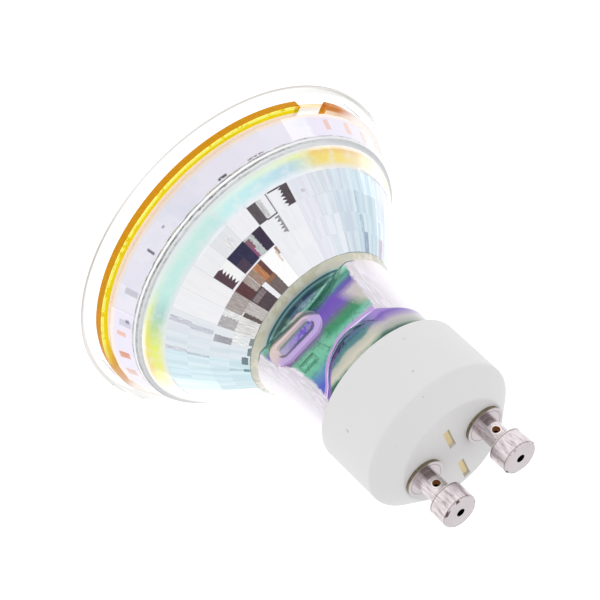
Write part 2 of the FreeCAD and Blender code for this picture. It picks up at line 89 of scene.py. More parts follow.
# Where the foot rises from the flat, and the sides of the flat, as (side, height) and (height, side)
ARCH_LINE = [(-9.5, 28.9), (-7.5, 28.3), (-6.2, 27.6), (-4.0, 27.2), (-2.0, 26.9), (0.0, 27.1), (2.0, 27.8),
             (3.0, 28.4), (4.0, 29.3), (5.0, 30.5), (6.0, 31.4), (9.5, 31.4)]
LOW_SIDE = [(19.0, 7.6), (20.5, 7.4), (27.5, 6.2), (33.0, 6.0)]
HIGH_SIDE = [(19.0, 7.9), (22.5, 7.6), (25.0, 6.2), (28.0, 5.8), (31.7, 6.1), (33.0, 6.3)]

# Moulded oval and small frame on the flat of the -Y side: length, height, line, relief, and the
# side and height of the middle
OVAL = (8.3, 4.1, 1.3, 0.25, 3.4, 21.95)
MARK = (2.6, 1.25, 0.3, 0.12, 4.5, 26.0)

# Cap and pins
CAP_FACE = 45.35
PIN_SIDE = 5.0
PIN_TOP = 52.5
PIN_HEAD = 49.6
CROSS_HOLE = 48.0
CROSS_HOLE_TURN = -12.0

# Facets: their width and the azimuth of one line of corners in degrees, and the heights of the corners
FACET_PITCH = 10.0
FACET_CORNER = -3.0
FACET_HEIGHTS = (10.1, 12.4, 14.7, 16.6, 18.5)
COLUMNS = 576                  # of the mesh

# Amber light board: height of its back, and the radii between its edge, its ring and its pale inside
BOARD_BACK = 2.42
BOARD_EDGE = 23.15
BOARD_RING = 22.95
BOARD_INSIDE = 22.46

# How much lower on the flat a point looks from the camera, for each millimetre out of its plane
FLAT_SLANT = 0.654

FAR = 1000.0                   # beyond every value that a mask is made from


# Numbers and shapes

def tone(red, green, blue):
    """Linear colour of a screen colour given as 0 to 255."""
    c = np.array([red, green, blue], float) / 255.0
    linear = np.where(c <= 0.04045, c / 12.92, ((c + 0.055) / 1.055) ** 2.4)
    return (*[float(v) for v in linear], 1.0)


def smooth_min(a, b, k):
    """Smaller of two surfaces, blended over a width k where they cross."""
    h = np.clip(0.5 + 0.5 * (b - a) / k, 0.0, 1.0)
    return b * (1.0 - h) + a * h - k * h * (1.0 - h)


def smooth_max(a, b, k):
    """Larger of two surfaces, blended over a width k where they cross."""
    return -smooth_min(-a, -b, k)


def rounded(corners, radius, steps=5):
    """Open outline whose inner corners are arcs, with a support point by each arc's ends."""
    corners = np.asarray(corners, float)
    radii = np.broadcast_to(radius, len(corners))
    out = [corners[0]]
    for before, corner, after, r in zip(corners, corners[1:], corners[2:], radii[1:]):
        back = before - corner
        on = after - corner
        lengths = np.hypot(*back), np.hypot(*on)
        back, on = back / lengths[0], on / lengths[1]
        half = 0.5 * math.acos(float(np.clip(back @ on, -1, 1)))
        reach = min(r / math.tan(half), 0.45 * min(lengths))
        r = reach * math.tan(half)
        middle = corner + (back + on) / np.hypot(*(back + on)) * (r / math.sin(half))
        start, end = corner + back * reach, corner + on * reach
        a0 = math.atan2(*(start - middle)[::-1])
        sweep = math.remainder(math.atan2(*(end - middle)[::-1]) - a0, 2 * math.pi)
        angles = a0 + sweep * np.linspace(0, 1, steps + 1)
        gap = min(0.08, 0.3 * reach)
        out.append(start + back * gap)
        out.extend(middle + r * np.stack([np.cos(angles), np.sin(angles)], -1))
        out.append(end + on * gap)
    out.append(corners[-1])
    return np.array(out)


def bowl_points(heights):
    """Points of the bowl's outside: a straight cone, swollen square to it by a parabola."""
    low, high = np.array(BAND_END), np.array(SHOULDER)
    share = (np.asarray(heights, float) - low[1]) / (high[1] - low[1])
    across = (high - low) / np.hypot(*(high - low))
    outwards = np.array([across[1], -across[0]])
    bulge = 4.0 * BOWL_BULGE * share * (1.0 - share)
    line = low + share[:, None] * (high - low)
    return line + bulge[:, None] * outwards


def stadium_distance(side, height, length, thickness):
    """Distance to the middle segment of a stadium less its half thickness: negative inside it."""
    half = thickness / 2.0
    along = np.maximum(np.abs(side) - (length / 2.0 - half), 0.0)
    return np.hypot(along, height) - half


def ridge(edge, line, relief):
    """Height of a half-round line just inside an outline, from the distance to that outline."""
    share = np.clip(1.0 - np.abs(edge + line / 2) / (line / 2), 0.0, 1.0)
    return relief * np.sqrt(1.0 - (1.0 - share) ** 2)


def flat_relief(side, height):
    """How far the moulded oval ring and the small frame stand out of the flat."""
    length, tall, line, relief, at_side, at_height = OVAL
    outer = stadium_distance(side - at_side, height - at_height, length, tall)
    oval = ridge(outer, line, relief)
    length, tall, line, relief, at_side, at_height = MARK
    edge = np.maximum(np.abs(side - at_side) - length / 2, np.abs(height - at_height) - tall / 2)
    return oval + ridge(edge, line, relief)


def neck_radius(azimuth, height):
    """Distance of the neck's surface from the axis, for azimuths in degrees and heights in mm.

    It is the smaller of the round neck and of a shape made of two flats, a round root and a round
    foot: a flat lies at its depth over the cosine of the azimuth counted from the flat's middle,
    and the foot swells from the flats out to the neck along a quarter of an ellipse.
    """
    taper = np.clip((NECK_TAPER_HEIGHT - height) / (NECK_TAPER_HEIGHT - LEDGE_HEIGHT), 0, 1)
    body = NECK_RADIUS + (NECK_TOP_RADIUS - NECK_RADIUS) * taper ** 1.5
    away = np.radians(azimuth - NECK_TURN)
    near = np.cos(away) > 0.4
    relief = np.where(near, flat_relief(FLAT_DEPTH * np.tan(away), height), 0.0)
    flat = (FLAT_DEPTH + relief) / np.maximum(np.abs(np.cos(away)), 0.05)
    sides = FLAT_DEPTH * np.tan(np.clip(away - math.pi * np.round(away / math.pi), -1.0, 1.0))
    arch = np.interp(sides, *np.transpose(ARCH_LINE))
    rise = np.clip((height - arch) / (FOOT_HEIGHT - arch), 0, 1)
    foot = FLAT_DEPTH + (NECK_RADIUS - FLAT_DEPTH) * np.sqrt(1 - (1 - rise) ** 2) ** 0.9
    sink = np.clip((height - LEDGE_HEIGHT) / (ROOT_HEIGHT - LEDGE_HEIGHT), 0, 1)
    root = ROOT_RADIUS + (FLAT_DEPTH - ROOT_RADIUS) * sink ** 0.6
    swell = np.maximum(foot, root)
    shaped = smooth_max(flat, swell, 0.12)
    return smooth_min(body, shaped, 0.22)


def rows_to_points(radii, heights, azimuths):
    """Points of rings: each row has its own height, and a radius at each azimuth in degrees."""
    turn = np.radians(azimuths)[None, :]
    x = radii * np.sin(turn)
    y = -radii * np.cos(turn)
    z = np.broadcast_to(np.asarray(heights, float)[:, None], radii.shape)
    return np.stack([x, y, z], -1) * MM


def closed_grid(name, points, flat_rows=(), looks=()):
    """Mesh object of a grid of points that closes on itself both ways, with its faces outwards.

    flat_rows are (first, last) rows of faces without smoothing, looks are the first rows that take
    the next material.

    Each face joins a point to the next along the row and to the same two in the next row. The
    signed volume, a sum of the corners' triple products, tells which way round the corners go.
    """
    rows, cols = points.shape[:2]
    here = np.arange(rows * cols).reshape(rows, cols)
    right = np.roll(here, -1, 1)
    quads = np.stack([here, right, np.roll(right, -1, 0), np.roll(here, -1, 0)], -1).reshape(-1, 4)
    flat_points = points.reshape(-1, 3)
    corner = flat_points[quads]
    volume = sum(np.einsum("ij,ij->i", corner[:, 0], np.cross(corner[:, i], corner[:, i + 1])).sum()
                 for i in (1, 2))
    if volume < 0:
        quads = quads[:, ::-1]
    smooth = np.ones((rows, cols), bool)
    for first, last in flat_rows:
        smooth[first:last] = False
    piece = mesh_object(name, flat_points, quads, smooth.ravel())
    index = np.searchsorted(looks, np.arange(rows), side="right") % max(len(looks), 1)
    piece.data.polygons.foreach_set("material_index", np.repeat(index, cols).astype(np.int32))
    return piece


def mesh_object(name, points, quads, smooth=None):
    """Object of these points and four-cornered faces, linked to the scene."""
    mesh = bpy.data.meshes.new(name)
    mesh.vertices.add(len(points))
    mesh.vertices.foreach_set("co", points.astype(np.float32).ravel())
    mesh.loops.add(quads.size)
    mesh.loops.foreach_set("vertex_index", quads.astype(np.int32).ravel())
    mesh.polygons.add(len(quads))
    mesh.polygons.foreach_set("loop_start", np.arange(0, quads.size, quads.shape[1], dtype=np.int32))
    mesh.update(calc_edges=True)
    if smooth is None:
        smooth = np.ones(len(quads), bool)
    mesh.polygons.foreach_set("use_smooth", smooth)
    mesh.validate()
    piece = bpy.data.objects.new(name, mesh)
    bpy.context.scene.collection.objects.link(piece)
    return piece


NECK_ROWS = np.r_[np.arange(LEDGE_HEIGHT, 24.2, 0.12), np.arange(24.4, 25.2, 0.3),
                  np.arange(25.3, 31.9, 0.12), 32.5, 34.0, NECK_END]
AZIMUTHS = FACET_CORNER + np.arange(COLUMNS) * 360.0 / COLUMNS


def clear_rim():
    """Clear glass round the light board, up to where the mirror starts.

    It is a surface of revolution: an outline of (radius, height) turned once round the axis.
    """
    outside = rounded([(SEAT_RADIUS, 0.02)] + RIM_OUTLINE, [0, 0.25, 0.3, 0.3, 0.3, 0])[1:]
    inside = np.array([(22.6, 3.36), (SEAT_LIP + 0.2, SEAT_ROOF + 0.08), (SEAT_LIP, SEAT_ROOF),
                       (SEAT_RADIUS - 0.1, SEAT_ROOF), (SEAT_RADIUS, SEAT_ROOF - 0.1),
                       (SEAT_RADIUS, 0.3), (SEAT_RADIUS + 0.04, 0.08)])
    outline = np.vstack([outside, inside])
    azimuths = np.arange(360.0)
    radii = outline[:, :1] * np.ones(len(azimuths))
    return closed_grid("clear_rim", rows_to_points(radii, outline[:, 1], azimuths))


def facet_share(azimuths):
    """Radius of flat facets over that of the circle through their corners.

    It is the cosine of half a facet's angle over the cosine of the angle from its middle.
    """
    half = math.radians(FACET_PITCH / 2)
    off = np.radians(np.mod(azimuths - FACET_CORNER, FACET_PITCH) - FACET_PITCH / 2)
    return math.cos(half) / np.cos(off)


def corner_play(rng, rows, size):
    """Small random shift of each facet corner, carried in a straight line from corner to corner."""
    count = int(round(360.0 / FACET_PITCH))
    shift = rng.uniform(-size, size, (rows, count))
    where = np.mod(AZIMUTHS - FACET_CORNER, 360.0) / FACET_PITCH
    left = np.floor(where + 1e-9).astype(int) % count
    part = where - np.floor(where + 1e-9)
    return shift[:, left] * (1 - part) + shift[:, (left + 1) % count] * part


def mirror_bowl():
    """Coated glass above the rim: skirt, step, plain band, facets, shoulder, neck and inner wall.

    Each row of points is a circle at its own height. Its radius is shrunk by the facets' share
    where there are facets, and follows the two flats and their feet on the neck.
    """
    rng = np.random.default_rng(4)
    ones = np.ones(COLUMNS)
    share = facet_share(AZIMUTHS)
    start, skirt_top = np.array(RIM_OUTLINE[-1]), np.array(STEP_OUTLINE[0])
    skirt = np.array([start + (0.0, 0.01), skirt_top])
    facets = bowl_points(FACET_HEIGHTS)
    first_facet = bowl_points([FACET_HEIGHTS[0] - 0.02])[0]
    band = rounded([skirt_top + (-0.02, 0.04)] + STEP_OUTLINE[1:] + [BAND_END, first_facet], 0.3)
    neck = neck_radius(AZIMUTHS[None, :], NECK_ROWS[:, None])
    inner = np.array([(NECK_RADIUS - GLASS_WALL, NECK_END), (6.1, NECK_END - 2.0), (6.1, 20.2), (8.0, 18.7),
                      (8.8, 18.0), (17.4, 9.2), (18.9, 6.6), (21.1, 2.75), (22.6, 3.38)])
    skirt_radii = skirt[:, :1] * share + corner_play(rng, 2, 0.02)
    facet_radii = facets[:, :1] * share + corner_play(rng, len(facets), 0.03)
    shoulder = np.array([(NECK_TOP_RADIUS + 0.1, LEDGE_LINE)])
    radii = np.vstack([skirt_radii, band[:, :1] * ones, facet_radii, shoulder[:, :1] * ones, neck,
                       inner[:, :1] * ones])
    heights = np.r_[skirt[:, 1], band[:, 1], facets[:, 1], shoulder[:, 1], NECK_ROWS, inner[:, 1]]
    first = len(skirt) + len(band)
    last = first + len(facets) - 1
    flat_rows = [(0, len(skirt) - 1), (first, last)]
    looks = [first - 1, first + 2, last, last + 1 + len(NECK_ROWS)]
    return closed_grid("mirror_bowl", rows_to_points(radii, heights, AZIMUTHS), flat_rows, looks)


# Shader nodes

class Value:
    """Output of a shader node that can be reckoned with: each operation adds a math node."""

    def __init__(self, socket):
        self.socket = socket
        self.tree = socket.id_data

    def __add__(self, other):
        return calc("ADD", self, other)

    __radd__ = __add__

    def __sub__(self, other):
        return calc("SUBTRACT", self, other)

    def __rsub__(self, other):
        return calc("SUBTRACT", other, self)

    def __mul__(self, other):
        return calc("MULTIPLY", self, other)

    __rmul__ = __mul__

    def __truediv__(self, other):
        return calc("DIVIDE", self, other)

    def __neg__(self):
        return calc("MULTIPLY", self, -1)

    def __abs__(self):
        return calc("ABSOLUTE", self)


def add(kind, inputs, **settings):
    """New node with its settings, given back as its outputs; each input is a Value or a plain value."""
    tree = next(value.tree for value in inputs.values() if isinstance(value, Value))
    made = tree.nodes.new(kind)
    for key, value in settings.items():
        setattr(made, key, value)
    for key, value in inputs.items():
        if isinstance(value, Value):
            tree.links.new(value.socket, made.inputs[key])
        else:
            made.inputs[key].default_value = value
    return [Value(socket) for socket in made.outputs]


def feed(target, value):
    """Link a Value to an input socket."""
    value.tree.links.new(value.socket, target)


def calc(operation, a, b=0, c=0, clamp=False):
    return add("ShaderNodeMath", {0: a, 1: b, 2: c}, operation=operation, use_clamp=clamp)[0]


def larger(a, b):
    return calc("MAXIMUM", a, b)


def smaller(a, b):
    return calc("MINIMUM", a, b)


def distance(a, b):
    return calc("SQRT", a * a + b * b)


def vector(x, y, z=0):
    return add("ShaderNodeCombineXYZ", {0: x, 1: y, 2: z})[0]


def as_colour(given):
    """Linear colour of three screen values from 0 to 255, of one linear grey, or as it is."""
    parts = [given] if isinstance(given, (int, float)) else list(given)
    if len(parts) == 1:
        return (*parts * 3, 1)
    return tone(*parts) if len(parts) == 3 else parts


def blend(share, a, b, kind="MIX"):
    """Colour on the way from a to b; each is a Value or a plain colour."""
    a, b = (end if isinstance(end, Value) else as_colour(end) for end in (a, b))
    return add("ShaderNodeMix", {0: share, 6: a, 7: b}, data_type="RGBA", blend_type=kind)[2]


def ramp(value, stops):
    """Colours along a value: each stop is the value and then the parts of a plain colour."""
    low, high = stops[0][0], stops[-1][0]
    place = add("ShaderNodeMapRange", {0: value, 1: low, 2: high})[0]
    made = add("ShaderNodeValToRGB", {0: place})[0]
    elements = made.socket.node.color_ramp.elements
    while len(elements) < len(stops):
        elements.new(0.5)
    for element, (where, *colour) in zip(elements, stops):
        element.position = (where - low) / (high - low)
        element.color = as_colour(colour)
    return made


def curve(value, points, low, high):
    """Number along a value: points are (value, number), the numbers between low and high."""
    grey = ramp(value, [(where, (number - low) / (high - low)) for where, number in points])
    return grey * (high - low) + low


def noise(coordinates, scale, detail=3, rough=0.55):
    return add("ShaderNodeTexNoise", {"Vector": coordinates, "Scale": scale, "Detail": detail,
                                      "Roughness": rough})[0]


def new_group(name, inputs, outputs):
    """Empty node group with its tree, its inputs as Values and its output sockets, both by name."""
    tree = bpy.data.node_groups.new(name, "ShaderNodeTree")
    for label, kind in inputs.items():
        tree.interface.new_socket(name=label, in_out="INPUT", socket_type=kind)
    for label in outputs:
        tree.interface.new_socket(name=label, in_out="OUTPUT", socket_type="NodeSocketFloat")
    given = {socket.name: Value(socket) for socket in tree.nodes.new("NodeGroupInput").outputs}
    return tree, given, tree.nodes.new("NodeGroupOutput").inputs


PLACE_VALUES = ("Azimuth", "Turn", "Fold", "Height", "Side", "Depth", "Slant", "Facing", "Radius")


@cache
def place_group():
    """Where a point is on the lamp, in degrees and millimetres.

    Azimuth counts from the front of the lamp, Turn from the middle of the nearer flat, and Fold is
    Turn without its sign. Side and Depth lie along and out of the flats, Facing is Depth with the
    sign of the flat's side, and Slant is the height on the flat that looks the same to the camera.
    """
    tree, given, out = new_group("lamp_place", {"Point": "NodeSocketVector"}, PLACE_VALUES)
    x, y, z = [part / MM for part in add("ShaderNodeSeparateXYZ", {0: given["Point"]})]
    azimuth = calc("DEGREES", calc("ARCTAN2", x, -y))
    turn = calc("FLOORED_MODULO", azimuth + (90.0 - NECK_TURN), 180) - 90.0
    c, s = math.cos(math.radians(NECK_TURN)), math.sin(math.radians(NECK_TURN))
    side = x * c + y * s
    facing = x * s - y * c
    side = side * calc("SIGN", facing)
    depth = abs(facing)
    slant = z - (depth - FLAT_DEPTH) * FLAT_SLANT
    values = azimuth, turn, abs(turn), z, side, depth, slant, facing, distance(x, y)
    for label, value in zip(PLACE_VALUES, values):
        feed(out[label], value)
    return tree


def places(point):
    """The group's values for a point, under their names in small letters."""
    values = add("ShaderNodeGroup", {"Point": point}, node_tree=place_group())
    return SimpleNamespace(**{label.lower(): value for label, value in zip(PLACE_VALUES, values)})


@cache
def window_group():
    """1 where a value lies between two ends, falling to 0 over an edge width outside them."""
    labels = ("Value", "Low", "High", "Edge")
    tree, given, out = new_group("window", dict.fromkeys(labels, "NodeSocketFloat"), ["Mask"])
    up = (given["Value"] - given["Low"]) / given["Edge"]
    down = (given["High"] - given["Value"]) / given["Edge"]
    feed(out["Mask"], calc("ADD", smaller(up, down), 1, clamp=True))
    return tree


def window(value, low, high, edge):
    inputs = {"Value": value, "Low": low, "High": high, "Edge": edge}
    return add("ShaderNodeGroup", inputs, node_tree=window_group())[0]


def over(value, low, edge):
    """1 above a value, falling to 0 over an edge width below it."""
    return window(value, low, FAR, edge)


def under(value, high, edge):
    """1 below a value, falling to 0 over an edge width above it."""
    return window(value, -FAR, high, edge)


def new_material(name, **sockets):
    """Material with its shader and its point in space; plain values go on the shader's own sockets."""
    material = bpy.data.materials.new(name)
    material.use_nodes = True
    nodes = material.node_tree.nodes
    shader = next(n for n in nodes if n.type == "BSDF_PRINCIPLED")
    for key, value in sockets.items():
        shader.inputs[key.replace("_", " ")].default_value = value
    return material, shader, Value(nodes.new("ShaderNodeTexCoord").outputs["Object"])


def coating(name):
    """Iridescent mirror behind clear glass, still without its colour."""
    material, shader, point = new_material(
        name, Metallic=0.85, Roughness=0.12, Coat_Weight=0.6, Coat_Roughness=0.03)
    bump(shader, noise(point, 700), 0.08, 0.0001)
    return material, shader.inputs["Base Color"], point, places(point)


def bump(shader, height, strength, depth):
    made = add("ShaderNodeBump", {"Height": height, "Strength": strength, "Distance": depth})[0]
    feed(shader.inputs["Normal"], made)


def clear_glass(name, index, glow):
    """Clear glass: painted thin grey refraction lines at the rim's edges, and a faint waviness."""
    material, shader, point = new_material(name, Roughness=0, IOR=index, Transmission_Weight=1,
                                           Emission_Strength=glow)
    at = places(point)
    cloud = noise(point, 60)
    colour = ramp(cloud, [(0.3, 250, 252, 252), (0.7, 254, 254, 254)])
    radius = at.radius
    # Painted grey refraction lines along the rim's front edge and along its slope
    front = over(radius, RIM_RADIUS, 0.06) * under(at.height, 0.42, 0.06)
    back = over(radius, RIM_RADIUS, 0.05) * window(at.height, 0.95, 1.3, 0.12)
    side = ramp(at.azimuth, [
        (-180, 0.5), (-95, 0.3), (-70, 0.8), (-10, 0.6), (16, 0.35), (40, 0.9), (85, 0.6), (180, 0.5)])
    far_side = ramp(at.azimuth, [
        (-180, 0.3), (-95, 0.1), (-68, 0.6), (-35, 0.1), (0, 0), (62, 0.05), (85, 0.3), (180, 0.3)])
    colour = blend(front * side, colour, (190, 185, 181))
    colour = blend(back * far_side, colour, (168, 170, 162))
    gap = window(at.azimuth, -53.5, -40.5, 0.6) * window(at.height, 2.4, 2.7, 0.05)
    gap = gap * window(radius, 21, 23.62, 0.02)
    across = ramp(radius, [
        (22.4, 232, 230, 228), (22.85, 186, 186, 182), (23.05, 192, 190, 184), (23.2, 232, 172, 118),
        (23.6, 234, 178, 126)])
    colour = blend(gap, colour, across)
    feed(shader.inputs["Base Color"], colour)
    bump(shader, noise(point, 260), 0.01, 0.0002)
    return material


# Painted reflections in the bowl's facets: azimuth from and to, row from and to, colour, and how far teeth
# stand out of the first edge, or out of the second where the number is negative
PAINTED_FACET_REFLECTIONS = [
    (-2.2, 6.6, 2.03, 3.97, (252, 251, 251), 0),
    (17.4, 26, 1.03, 1.97, (252, 252, 251), 0),
    (-22.7, -19.6, 0.02, 0.97, (62, 52, 58), -1.8),
    (-19.8, -13.4, 0, 0.06, (80, 70, 78), 0),
    (-7.6, -3.2, 0.04, 0.97, (70, 64, 68), 0.3),
    (-9.4, -7.4, 0.06, 0.9, (176, 176, 176), 0.4),
    (-12.7, -12.3, 0, 1, (116, 110, 118), 0),
    (-12.7, -7.4, 0.96, 1.01, (86, 80, 88), 0),
    (-12.6, -12.2, 1.1, 1.9, (120, 118, 122), -2.2),
    (-2.9, 2.1, 1, 2, (36, 24, 48), 0),
    (2.1, 6.7, 1, 2, (164, 168, 168), 0.4),
    (4.6, 6.8, 1.1, 1.55, (112, 76, 88), 0.6),
    (5.6, 6.8, 1.5, 1.95, (120, 60, 96), 0.4),
    (6.8, 16.9, 1, 2, (28, 24, 58), 0),
    (12, 16.9, 1.5, 2, (58, 44, 62), 0.8),
    (23.4, 26.8, 1.02, 1.97, (70, 46, 56), 2.2),
    (6.9, 9.7, 2, 3, (84, 48, 44), 0),
    (9.6, 13, 2, 3, (158, 104, 66), 0.2),
    (13, 16.6, 2, 3, (136, 114, 100), 0.3),
    (7.2, 12.6, 2, 2.08, (70, 44, 44), 0),
    (17, 21, 2, 3, (150, 138, 132), 0.2),
    (21, 26.8, 2, 3, (76, 40, 44), 0.4),
    (27, 36.8, 2, 3, (150, 142, 138), 0.1),
    (37, 41, 2, 3, (206, 206, 206), 0.2),
    (41, 47.2, 2, 3, (158, 156, 156), 0.9),
    (-2.8, -1.6, 2, 2.5, (150, 122, 112), 0.3),
    (-1.6, -0.8, 2.3, 2.9, (196, 180, 170), 0.3),
    (6.7, 13.4, 3, 4, (92, 80, 78), 0.3),
    (7, 13.2, 3, 3.2, (122, 84, 60), 0.3),
    (16.7, 26.8, 3, 4, (62, 50, 56), 0.2),
    (17.6, 26, 3.08, 3.36, (116, 102, 104), 0.6),
    (27, 34.4, 3, 4, (170, 165, 162), 0.3),
    (34.4, 36.8, 3.08, 4, (84, 72, 70), 0.4),
    (37, 47.4, 3, 4, (196, 195, 192), 0.3),
    (48, 56, 3, 4, (206, 214, 216), 0.4),
    (52.6, 56.6, 2, 3, (142, 144, 150), 0.3),
    (9, 13, 0.35, 0.9, (220, 218, 221), 0.1),
    (9.8, 11.2, 0.45, 0.66, (196, 194, 197), 0.1),
    (-29, -27.4, 0.55, 0.7, (176, 176, 184), 0.4),
    (50.2, 52.8, 0, 1, (180, 182, 190), 0.1),
    (51, 53.4, 1, 2, (176, 180, 188), 0.1),
    (65.6, 67.8, 0, 1, (184, 188, 196), 0.1),
    (67.2, 68.6, 1, 2, (168, 180, 186), 0.1),
    (-57.6, -56.2, 1, 2, (162, 182, 192), 0.3),
    (-60.4, -57.4, 2, 3, (158, 176, 190), 0.2),
    (-63.2, -59.4, 3, 4, (136, 152, 170), 0.3),
    (-77.6, -75, 2, 3, (152, 178, 198), 0.3),
    (-80, -75.6, 3, 4, (164, 152, 170), 0.5),
    (-74, -72.4, 0.2, 2, (186, 206, 216), 0.4),
    (48.6, 54, 3.84, 4, (112, 124, 126), 0.9),
    (56.5, 62.5, 3.86, 4, (104, 118, 122), 0.9),
    (64.5, 70.5, 3.62, 3.92, (92, 112, 118), 0.6),
    (75, 76.8, 3, 4, (166, 190, 196), 0.2),
    (74.8, 77.2, 3.7, 3.97, (96, 130, 138), 0.2),
]

# Painted reflections in the skirt: azimuth, half width, height from and to, colour
PAINTED_SKIRT_REFLECTIONS = [
    (48.4, 1.2, 4.6, 6.3, (200, 198, 210)),
    (61.8, 1.2, 4.6, 6.2, (194, 194, 208)),
    (60.7, 0.5, 5.4, 5.9, (120, 122, 136)),
    (66.9, 0.9, 4.4, 5.6, (226, 180, 164)),
    (77.8, 1.5, 4.4, 5.8, (206, 136, 106)),
    (88.2, 1.8, 4.4, 5.8, (212, 166, 150)),
    (101, 3, 4.4, 5.6, (206, 202, 204)),
    (-51.4, 1, 4.2, 5.6, (220, 186, 176)),
    (-62.6, 1.4, 4.2, 5.8, (226, 196, 186)),
    (-73, 1.9, 4.4, 6, (226, 206, 196)),
    (-17.5, 3.2, 6.15, 6.3, (88, 86, 94)),
    (-3.6, 1.6, 6, 6.3, (70, 68, 76)),
    (31.5, 0.35, 5, 6, (100, 100, 114)),
    (22, 0.4, 5, 5.2, (130, 130, 144)),
]

# Tone of each column of facets, from ten columns left of the one that starts at FACET_CORNER
COLUMN_TONES = [(column, *colour) for column, colour in enumerate([
    (240, 243, 246), (224, 232, 240), (212, 220, 230), (202, 226, 236), (212, 232, 241), (218, 230, 240),
    (226, 231, 238), (230, 230, 238), (238, 238, 242), (238, 239, 242), (242, 241, 244), (240, 240, 243),
    (248, 248, 250), (250, 249, 250), (249, 249, 251), (236, 240, 245), (226, 236, 242), (220, 243, 249),
    (218, 244, 250), (222, 246, 250), (238, 246, 248), (240, 243, 246)], -10)]


def facet_colour(at, point, low_row, high_row):
    """Near-white mirror facets, bluer towards the sides, with painted reflections of the dark room in some
    of them.
    """
    azimuth, height = at.azimuth, at.height
    turned = (azimuth - FACET_CORNER) / FACET_PITCH
    column = calc("FLOOR", turned)
    base = ramp(column, COLUMN_TONES)
    first = int(low_row)
    row = add("ShaderNodeMapRange", {0: height, 1: FACET_HEIGHTS[first], 2: FACET_HEIGHTS[first + 2],
                                     3: low_row, 4: high_row}, clamp=False)[0]
    cell = vector(column, calc("FLOOR", row))
    chance = add("ShaderNodeTexWhiteNoise", {0: cell}, noise_dimensions="3D")[0]
    sideways = ramp(azimuth, [
        (-180, 0.28), (-44, 0.22), (-34, 0.16), (-20, 0.05), (46, 0.04), (60, 0.16), (120, 0.2),
        (180, 0.3)])
    base = blend(chance * sideways, base, (186, 204, 220))
    lines = vector(azimuth * 0.3, calc("FLOOR", row) * 7, height * 0.08)
    streak = noise(lines, 1, 2, 0.5)
    base = blend(over(streak, 0.56, 0.05) * sideways, base, (168, 188, 206))
    base = blend(under(streak, 0.42, 0.05) * sideways * 1.4, base, (246, 248, 250))
    seam = over(abs(calc("FRACT", turned) - 0.5), 0.485, 0.012)
    base = blend(seam * 0.16, base, (170, 176, 186))
    wobble = noise(point, 1500, 2)
    comb = height * 5.2 + wobble * 1.8
    tooth = calc("PINGPONG", comb, 1) * (wobble * 1.9)
    brushed = noise(vector(azimuth * 1.7, height * 1.1), 1, 4, 0.7)
    grain = ramp(brushed, [(0.36, 0), (0.64, 1)])
    # Painted reflections of the room, as dark and light patches on the facets
    for left, right, low, high, colour, rag in PAINTED_FACET_REFLECTIONS:
        if not low_row <= low < high_row:
            continue
        stretch = tooth * rag
        from_left = over(azimuth + larger(stretch, 0), left, 0.15)
        to_right = under(azimuth + smaller(stretch, 0), right, 0.15)
        mask = from_left * to_right * window(row, low, high, 0.02)
        lighter = [min(255, int(part * 1.2 + 14)) for part in colour]
        base = blend(mask, base, blend(grain, colour, lighter))
    return base


def rim_colour(at, point):
    """Lavender mirror in the skirt, with faint columns and painted reflections of marks round it."""
    azimuth, height = at.azimuth, at.height
    column = calc("FLOOR", (azimuth - FACET_CORNER) / FACET_PITCH)
    chance = add("ShaderNodeTexWhiteNoise", {1: column}, noise_dimensions="1D")[0]
    base = blend(chance, (232, 229, 243), (240, 238, 248))
    cloud = noise(point, 420)
    base = blend(cloud * 0.5, base, (242, 238, 243))
    mottle = noise(point, 260, 3, 0.6)
    base = blend(ramp(mottle, [(0.5, 0), (0.66, 0.5)]), base, (222, 228, 242))
    dull = ramp(azimuth, [
        (-180, 0.6), (-110, 0.5), (-85, 0.5), (-43.1, 1), (-42.9, 0), (56.9, 0), (57.1, 0.8), (180, 0.6)])
    base = blend(dull, base, (218, 212, 228))
    peach = ramp(height, [(3.2, 1), (3.5, 0.9), (4, 0), (5.2, 0)])
    base = blend(peach, base, (250, 228, 206))
    scribble = over(noise(point, 1600, 3, 0.7), 0.47, 0.06)
    # Painted reflections of dark and coloured marks round the skirt
    for middle, half, low, high, colour in PAINTED_SKIRT_REFLECTIONS:
        lean = azimuth + cloud * 1.2
        mask = window(lean, middle - half + 0.8, middle + half + 0.4, 0.6)
        mask = mask * window(height, low + 0.1, high - 0.1, 0.2)
        if max(colour) < 110:
            mask = mask * scribble
        base = blend(mask, base, colour)
    return base


def band_colour(at, point):
    """Plain band: cyan-green in front, yellow and orange towards the sides, then pale."""
    cloud = noise(point, 160) - 0.5
    turn = at.turn + cloud * 9.0
    height = at.height + cloud * 0.5
    lower = ramp(turn, [
        (-90, 250, 240, 232), (-78, 246, 214, 168), (-66, 244, 196, 120), (-50, 244, 206, 112),
        (-42, 234, 242, 160), (-30, 230, 246, 206), (-16, 226, 246, 234), (10, 226, 248, 240),
        (32, 222, 247, 232), (42, 236, 247, 150), (56, 246, 232, 110), (74, 248, 212, 140),
        (90, 250, 238, 226)])
    upper = ramp(turn, [
        (-90, 250, 246, 240), (-76, 248, 232, 190), (-62, 248, 226, 130), (-50, 246, 222, 120),
        (-44, 210, 224, 204), (-36, 184, 214, 230), (-20, 196, 236, 240), (10, 206, 246, 237),
        (32, 200, 243, 235), (42, 172, 216, 210), (50, 194, 224, 164), (58, 234, 244, 112),
        (74, 240, 240, 140), (90, 250, 244, 232)])
    share = ramp(height, [(7.5, 0), (8, 0.05), (8.6, 0.95), (9.8, 1)])
    colour = blend(share, lower, upper)
    pale = ramp(height, [(7.2, 1), (7.7, 0.5), (8.1, 0), (9.3, 0), (9.9, 0.8), (10.1, 0.8)])
    colour = blend(pale, colour, (236, 238, 244))
    drawn = noise(vector(at.azimuth * 0.22, at.height * 0.9), 1, 3, 0.6)
    drawn = ramp(drawn, [(0.36, 0.34), (0.52, 0), (0.66, 0)])
    return blend(drawn, colour, (240, 244, 244))


